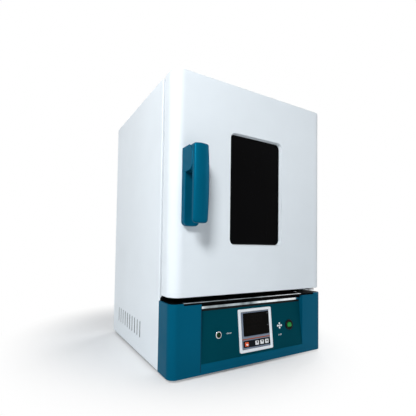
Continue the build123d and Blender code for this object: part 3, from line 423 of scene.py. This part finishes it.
# ---------------------------------------------------------------- symbols on the panel
INK_LOW, INK_MM = 0.02, 0.12
FAN_U, FAN_V = 74.0, 0.25
LOBE_REACH_U, LOBE_REACH_V = 5.2, 4.7
LOBE_LONG, LOBE_WIDE, LOBE_TAPER, LOBE_SWEEP = 2.7, 2.3, 0.5, 0.4
LOBE_STEPS = 24
STEM_FROM, STEM_TO, STEM_HALF = 0.8, 3.6, 0.8
HUB_RADIUS = 1.8


def turned(centre, along, across, turn):
    """The place a distance along and across a direction from a centre."""
    return (centre[0] + along * cos(turn) - across * sin(turn),
            centre[1] + along * sin(turn) + across * cos(turn))


fan_marks = []
for quarter in range(4):
    turn = quarter * pi / 2
    lobe_centre = (FAN_U + LOBE_REACH_U * cos(turn), FAN_V + LOBE_REACH_V * sin(turn))
    lobe = []
    for step in range(LOBE_STEPS):
        a = 2 * pi * step / LOBE_STEPS
        across = (LOBE_WIDE - LOBE_TAPER * cos(a)) * sin(a) + LOBE_SWEEP * sin(2 * a)
        lobe.append(turned(lobe_centre, LOBE_LONG * cos(a), across, turn))
    stem = [turned((FAN_U, FAN_V), along, across, turn)
            for along, across in ((STEM_FROM, -STEM_HALF), (STEM_TO, -STEM_HALF),
                                  (STEM_TO, STEM_HALF), (STEM_FROM, STEM_HALF))]
    fan_marks += [lobe, stem]
fan_marks.append(circle(HUB_RADIUS, (FAN_U, FAN_V)))
panel_patch("fan_symbol", fan_marks, INK_LOW, INK_MM, "key_white", "cabinet", finish=white_ink)

CAPITAL_SHARE = 0.72


def lettering(name, words, u, v, height, body="cabinet"):
    """Generic switch wording with capitals of a height, printed on the panel."""
    curve = bpy.data.curves.new(name, "FONT")
    curve.body = words
    curve.size = height / CAPITAL_SHARE * MM
    curve.align_x, curve.align_y = "CENTER", "CENTER"
    curve.extrude = INK_MM / 2 * MM
    curve.resolution_u = 4
    made = bpy.data.objects.new(name, curve)
    scene.collection.objects.link(made)
    turn = Matrix((Vector((1, 0, 0)), PANEL_UP, PANEL_OUT)).transposed().to_4x4()
    made.matrix_world = Matrix.Translation(on_panel(u, v, INK_MM / 2)) @ turn
    curve.materials.append(white_ink)
    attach(made, body)


lettering("power_wording", "ON/OFF", -72.8, 0.0, 2.6)
lettering("fan_switch_wording", "I / O", 73.8, -20.5, 3.8)

# black strip right under the panel trim: painted shadow of the trim on the panel
TRIM_LENGTH, TRIM_LOW_V, SHADOW_STRIP_LOW_V = 288.0, 55.6, 51.4
SHADOW_STRIP_PROUD, SHADOW_STRIP_CORNER, SHADOW_STRIP_BEVEL = 0.7, 0.6, 0.3
panel_patch("panel_trim_shadow_strip",
            [rounded(TRIM_LENGTH, TRIM_LOW_V - SHADOW_STRIP_LOW_V, SHADOW_STRIP_CORNER,
                     (0.0, (TRIM_LOW_V + SHADOW_STRIP_LOW_V) / 2))],
            0.01, SHADOW_STRIP_PROUD, "rubber_black", "cabinet", bevel=SHADOW_STRIP_BEVEL * MM)

# ---------------------------------------------------------------- controller details
HOUSING_W = 2.0
CONTROLLER_V = 0.6
panel_patch("controller_stripe", [rounded(80.0, 2.3, 0.5, (0.0, -17.8))], HOUSING_W + 0.02,
            HOUSING_W + 0.15, "key_orange", "cabinet", finish=stripe_ink)

DISPLAY_W = 3.5
DIGITS_U = -22.5
DIGIT_ROWS = ((24.0, 15.0), (2.6, 12.0))
DIGITS_IN_ROW = 4
DIGIT_ASPECT, DIGIT_PITCH, BAR_SHARE, DIGIT_LEAN = 0.52, 1.55, 0.1, 0.12
segment_ink = plastic("segment_ink", srgb(24, 21, 20), 0.25, grain_mm=0.0005, gloss=0.2,
                      index=1.12)


def seven_segments(u, v, tall):
    """The seven leaning bars of one digit, the flat ones first."""
    wide, bar = tall * DIGIT_ASPECT, tall * BAR_SHARE
    bars = [(0, row * tall / 2, wide, bar) for row in (1, 0, -1)]
    bars += [(side * wide / 2, row * tall / 4, bar, tall / 2 - bar)
             for row in (1, -1) for side in (-1, 1)]
    return [rounded(bar_w - bar * 0.35, bar_h - bar * 0.2, bar * 0.3,
                    (u + du + DIGIT_LEAN * dv, v + dv), steps=2)
            for du, dv, bar_w, bar_h in bars]


digits = []
for row_v, digit_h in DIGIT_ROWS:
    for place in range(DIGITS_IN_ROW):
        digit_u = DIGITS_U + place * digit_h * DIGIT_ASPECT * DIGIT_PITCH
        digits += seven_segments(digit_u, row_v, digit_h)
panel_patch("display_segments", digits, DISPLAY_W + 0.01, DISPLAY_W + 0.06, "display_black",
            "cabinet", finish=segment_ink)
marks = [rounded(3.2, 1.5, 0.4, (35.0, v), steps=2) for v in (33.0, 7.0)]
panel_patch("display_side_marks", marks, DISPLAY_W + 0.01, DISPLAY_W + 0.08, "housing_grey",
            "cabinet", finish=print_ink("side_mark_ink", srgb(96, 98, 102)))

KEY_TOP_W = 4.2
KEY_V = -28.0
ARROW_REACH = 3.2
SET_U, SHIFT_U, DOWN_U, UP_U = -28.9, 0.0, 14.3, 28.6


def triangle(u, v, reach, heading):
    """An equal triangle that points along a heading in degrees."""
    turn = radians(heading)
    return [(u + reach * cos(turn + a), v + reach * sin(turn + a))
            for a in (0.0, 2 * pi / 3, -2 * pi / 3)]


set_mark = [(SET_U + u, KEY_V + v) for u, v in
            ((-2.6, 0.6), (-1.0, 1.6), (3.2, 0.2), (3.4, -1.6), (1.6, -2.8), (-2.2, -1.4))]
for name, body, shapes in (
        ("key_set_mark", "set_key", [set_mark]),
        ("key_shift_mark", "shift_key", [triangle(SHIFT_U, KEY_V + 1.7, ARROW_REACH, 180)]),
        ("key_down_mark", "down_key", [triangle(DOWN_U, KEY_V + 2.2, ARROW_REACH, 270)]),
        ("key_up_mark", "up_key", [triangle(UP_U, KEY_V + 1.0, ARROW_REACH, 90)])):
    ink = white_ink if name == "key_set_mark" else dark_ink_and_shadow
    panel_patch(name, shapes, KEY_TOP_W - 0.02, KEY_TOP_W + 0.06,
                "key_white" if ink is white_ink else "keypad_black", body, finish=ink)

# dark ring of painted shadow where the controller's face meets its frame
seam_shadow = bmesh.new()
outer_loop = rounded(80.3, 78.8, 1.0, (0.0, CONTROLLER_V))
inner_loop = rounded(78.8, 77.3, 0.8, (0.0, CONTROLLER_V))
seam_shadow_rings = [[seam_shadow.verts.new(on_panel(u, v, w)) for u, v in loop]
              for loop, w in ((outer_loop, HOUSING_W + 0.2), (inner_loop, HOUSING_W + 0.04))]
skin(seam_shadow, seam_shadow_rings)
piece("controller_shadow_seam", seam_shadow, "housing_grey", "cabinet", finish=dark_ink_and_shadow)

# joint between the left corner and the recess, a dark line down the corner's inner edge: partly
# the real joint, partly painted shade that the corner casts into the recess
CORNER_FRONT_Y, CORNER_INNER_X = -165.0, -145.6
JOINT_SHADE_WIDE, JOINT_SHADE_TALL, JOINT_SHADE_MIDDLE_Z, JOINT_SHADE_PROUD = 0.9, 130.0, 76.0, 0.06
joint_and_shade = bmesh.new()
prism(joint_and_shade, rounded(JOINT_SHADE_WIDE, JOINT_SHADE_TALL, JOINT_SHADE_WIDE / 3,
                     (CORNER_INNER_X - JOINT_SHADE_WIDE / 2, JOINT_SHADE_MIDDLE_Z), steps=2),
      lambda x, z, w: Vector((x, CORNER_FRONT_Y - w, z)) * MM, 0.0, JOINT_SHADE_PROUD)
piece("corner_joint_and_shade_line", joint_and_shade, "rubber_black", "cabinet")

# ---------------------------------------------------------------- power button cap
BUTTON_U = -100.6
BUTTON_TOP_W = 0.6
LENS_PROFILE = ((4.15, 0.02), (4.0, 0.3), (3.3, 0.5), (2.0, 0.66), (0.8, 0.7))
button_dish = bmesh.new()
rings = []
for radius, w in LENS_PROFILE:
    rings.append([button_dish.verts.new(on_panel(u, v, BUTTON_TOP_W + w))
                  for u, v in circle(radius, (BUTTON_U, 0.0))])
skin(button_dish, rings)
button_dish.faces.new(rings[-1])
piece("power_button_lens", button_dish, "button_black", "power_switch", finish=smoked_lens_painted_light())

# ---------------------------------------------------------------- louvre blades
LOUVRE_COUNT = 10
LOUVRE_PITCH = 18.7
LOUVRE_FIRST_Y = -5.5
LOUVRE_Z0, LOUVRE_Z1 = 43.5, 83.0
SHELL_HALF, SHEET = 215.0, 1.5
LIP_HALF, LIP_SHORTER, BLADE_LONGER = 1.95, 2.2, 2.0
# (depth behind the side's face, place across the slot): a lip in the slot, then a sloping blade
BLADE_PROFILE = ((0.15, 1.3), (4.6, -0.6), (7.2, -3.6), (7.6, -3.2), (5.2, -0.2),
                 (SHEET + 0.2, LIP_HALF), (0.15, LIP_HALF))
# the blades' dark grey is painted shade inside the louvre slots
louvre_shade_grey = powder_coat("louvre_shade_grey", srgb(34, 40, 45), 0.6, spread=0.06, gloss=0.1)


def blade_end(mesh, side, y, z, inward):
    """One end of a blade, longer than the slot behind the sheet and shorter inside the slot."""
    return [mesh.verts.new(Vector((side * (SHELL_HALF - depth), y + across, z + inward * (
        LIP_SHORTER if depth < SHEET else -BLADE_LONGER))) * MM)
        for depth, across in BLADE_PROFILE]


for side, name in ((-1, "louvre_blades_left"), (1, "louvre_blades_right")):
    blades = bmesh.new()
    for k in range(LOUVRE_COUNT):
        blade_y = LOUVRE_FIRST_Y + k * LOUVRE_PITCH
        low_end = blade_end(blades, side, blade_y, LOUVRE_Z0, 1.0)
        high_end = blade_end(blades, side, blade_y, LOUVRE_Z1, -1.0)
        blades.faces.new(low_end)
        blades.faces.new(high_end[::-1])
        skin(blades, (low_end, high_end))
    piece(name, blades, "motor_steel", "cabinet", finish=louvre_shade_grey)


# ---------------------------------------------------------------- screws
HEAD_STEPS = 24
HEAD_PROFILE = ((1.0, 0.0), (1.0, 0.35), (0.93, 0.66), (0.72, 0.9), (0.45, 1.0))
CROSS_LONG, CROSS_SHORT, CROSS_RIM, CROSS_FLOOR = 0.44, 0.2, 0.98, (0.1, 0.35)


def pan_head(mesh, centre, axis, radius, height, slot_angle):
    """A domed screw head with a cross recess."""
    axis = axis.normalized()
    across = axis.orthogonal().normalized()
    up = axis.cross(across)
    angles = [2 * pi * i / HEAD_STEPS for i in range(HEAD_STEPS)]

    def ring(reach, rise):
        return [mesh.verts.new(centre + (across * radius * reach(a) * cos(a)
                                         + up * radius * reach(a) * sin(a)
                                         + axis * height * rise) * MM) for a in angles]

    def cross(a):
        return CROSS_LONG if abs(cos(2 * (a - slot_angle))) > 0.75 else CROSS_SHORT

    rows = [ring(lambda a, r=r: r, w) for r, w in HEAD_PROFILE]
    rows.append(ring(cross, CROSS_RIM))
    rows.append(ring(lambda a: CROSS_FLOOR[0], CROSS_FLOOR[1]))
    skin(mesh, rows)
    mesh.faces.new(rows[-1])


def screws(name, places, axis, radius, height):
    """A set of screw heads, each turned a little further than the last."""
    mesh = bmesh.new()
    for number, place in enumerate(places):
        pan_head(mesh, Vector(place) * MM, Vector(axis), radius, height, 0.4 + 0.9 * number)
    piece(name, mesh, "steel_pin", "cabinet")


FRAME_FRONT_Y, HINGE_PLATE = -111.5, 3.0
RACK_X = 153.0
screws("hinge_plate_screws",
       [(190.0, FRAME_FRONT_Y - HINGE_PLATE, z) for z in (166.0, 188.0, 570.0, 592.0)],
       (0, -1, 0), 3.0, 1.6)
screws("deck_screws", [(153.0, -135.0, 148.3)], (0, 0, 1), 3.4, 1.7)
for side, name in ((-1, "rack_screws"), (1, "rack_screws_right")):
    screws(name, [(side * RACK_X, y, z) for y in (-69.5, 62.5) for z in (250.0, 505.0)],
           (-side, 0, 0), 3.0, 1.5)
screws("baffle_screws", [(x, 88.5, z) for x in (-143.0, 143.0) for z in (226.0, 538.0)],
       (0, -1, 0), 3.0, 1.5)

# ---------------------------------------------------------------- window seal
WINDOW_X, WINDOW_Z = -2.5, 385.0
SEAL_WIDTH, SEAL_HEIGHT, SEAL_TURN = 146.0, 237.0, 11.5
GLASS_Y = -156.0
BEAD_RADIUS, BEAD_STEPS = 1.0, 6
seal = bmesh.new()
loop = [Vector((x, GLASS_Y, z)) for x, z in
        rounded(SEAL_WIDTH, SEAL_HEIGHT, SEAL_TURN, (WINDOW_X, WINDOW_Z), steps=8)]
sections = []
for i, here in enumerate(loop):
    along = (loop[(i + 1) % len(loop)] - loop[i - 1]).normalized()
    outward = along.cross(Vector((0, 1, 0)))
    half_turn = [pi * s / BEAD_STEPS for s in range(BEAD_STEPS + 1)]
    sections.append([seal.verts.new((here + outward * BEAD_RADIUS * cos(a)
                                     + Vector((0, -1, 0)) * BEAD_RADIUS * sin(a)) * MM)
                     for a in half_turn])
for i, section in enumerate(sections):
    last = sections[i - 1]
    for s in range(BEAD_STEPS):
        seal.faces.new((last[s], last[s + 1], section[s + 1], section[s]))
piece("window_seal", seal, "rubber_black", "door")

# ---------------------------------------------------------------- floor and light
FLOOR_HALF, FLOOR_DROP = 9.0, 0.0004
FADE_CENTRE, FADE_FROM, FADE_TO = (-0.04, 0.14, 0.0), 0.24, 0.5
floor_mesh = bmesh.new()
bmesh.ops.create_grid(floor_mesh, x_segments=8, y_segments=8, size=FLOOR_HALF)
floor_data = bpy.data.meshes.new("floor")
floor_mesh.to_mesh(floor_data)
floor_mesh.free()
floor = bpy.data.objects.new("floor", floor_data)
floor.location = (0.0, 0.0, -FLOOR_DROP)
scene.collection.objects.link(floor)


def seen_plainly(tree):
    """1 for the rays that show the backdrop to the camera, straight, mirrored or through glass."""
    path = tree.nodes.new("ShaderNodeLightPath")
    seen = path.outputs["Is Camera Ray"]
    for other in (path.outputs["Is Glossy Ray"], path.outputs["Is Transmission Ray"]):
        either = tree.nodes.new("ShaderNodeMath")
        either.operation = "MAXIMUM"
        tree.links.new(seen, either.inputs[0])
        tree.links.new(other, either.inputs[1])
        seen = either.outputs[0]
    return seen


def floor_material():
    """Pale floor that fades to plain white away from the object for what sees it directly."""
    finish = Finish("floor", Base_Color=(0.94, 0.95, 0.96, 1.0), Roughness=0.6,
                    Specular_IOR_Level=0.1)
    tree = finish.tree
    finish.vary("Roughness", finish.noise(30.0, 4.0), 0.55, 0.7)
    distance = finish.node("ShaderNodeVectorMath", operation="DISTANCE")
    distance.inputs[1].default_value = FADE_CENTRE
    tree.links.new(finish.place, distance.inputs[0])
    fade = finish.node("ShaderNodeMapRange", interpolation_type="SMOOTHSTEP")
    fade.inputs["From Min"].default_value = FADE_FROM
    fade.inputs["From Max"].default_value = FADE_TO
    tree.links.new(distance.outputs["Value"], fade.inputs["Value"])
    amount = finish.node("ShaderNodeMath", operation="MULTIPLY")
    tree.links.new(seen_plainly(tree), amount.inputs[0])
    tree.links.new(fade.outputs["Result"], amount.inputs[1])
    white = finish.node("ShaderNodeEmission")
    mix = finish.node("ShaderNodeMixShader")
    tree.links.new(amount.outputs[0], mix.inputs["Fac"])
    tree.links.new(finish.shader.outputs[0], mix.inputs[1])
    tree.links.new(white.outputs[0], mix.inputs[2])
    tree.links.new(mix.outputs[0], tree.nodes["Material Output"].inputs["Surface"])
    return finish.material


floor_data.materials.append(floor_material())

world = bpy.data.worlds.new("studio")
world.use_nodes = True
scene.world = world
tree = world.node_tree
background = tree.nodes["Background"]
background.inputs["Color"].default_value = (0.9, 0.95, 1.0, 1.0)
background.inputs["Strength"].default_value = 0.08
seen_white = tree.nodes.new("ShaderNodeBackground")
seen_white.inputs["Color"].default_value = (1.0, 1.0, 1.0, 1.0)
mix = tree.nodes.new("ShaderNodeMixShader")
tree.links.new(seen_plainly(tree), mix.inputs["Fac"])
tree.links.new(background.outputs[0], mix.inputs[1])
tree.links.new(seen_white.outputs[0], mix.inputs[2])
tree.links.new(mix.outputs[0], tree.nodes["World Output"].inputs["Surface"])


def softbox(name, place, target, width, height, power):
    """A rectangular studio lamp that looks at a point."""
    lamp = bpy.data.lights.new(name, "AREA")
    lamp.shape = "RECTANGLE"
    lamp.size, lamp.size_y = width, height
    lamp.energy = power
    made = bpy.data.objects.new(name, lamp)
    made.location = place
    made.rotation_euler = (Vector(target) - Vector(place)).to_track_quat("-Z", "Y").to_euler()
    scene.collection.objects.link(made)


MIDDLE = (0.0, 0.0, 0.32)
softbox("key_light", (-1.02, -1.08, 1.2), MIDDLE, 0.4, 0.4, 21.0)
softbox("left_light", (-1.6, -0.3, 0.7), MIDDLE, 0.6, 0.6, 4.0)
softbox("top_light", (0.4, -0.5, 2.3), MIDDLE, 1.6, 1.2, 5.0)
softbox("right_fill", (1.65, -1.0, 0.9), MIDDLE, 0.7, 0.7, 2.8)
softbox("back_right_light", (1.5, 0.9, 1.5), MIDDLE, 1.0, 1.0, 16.0)
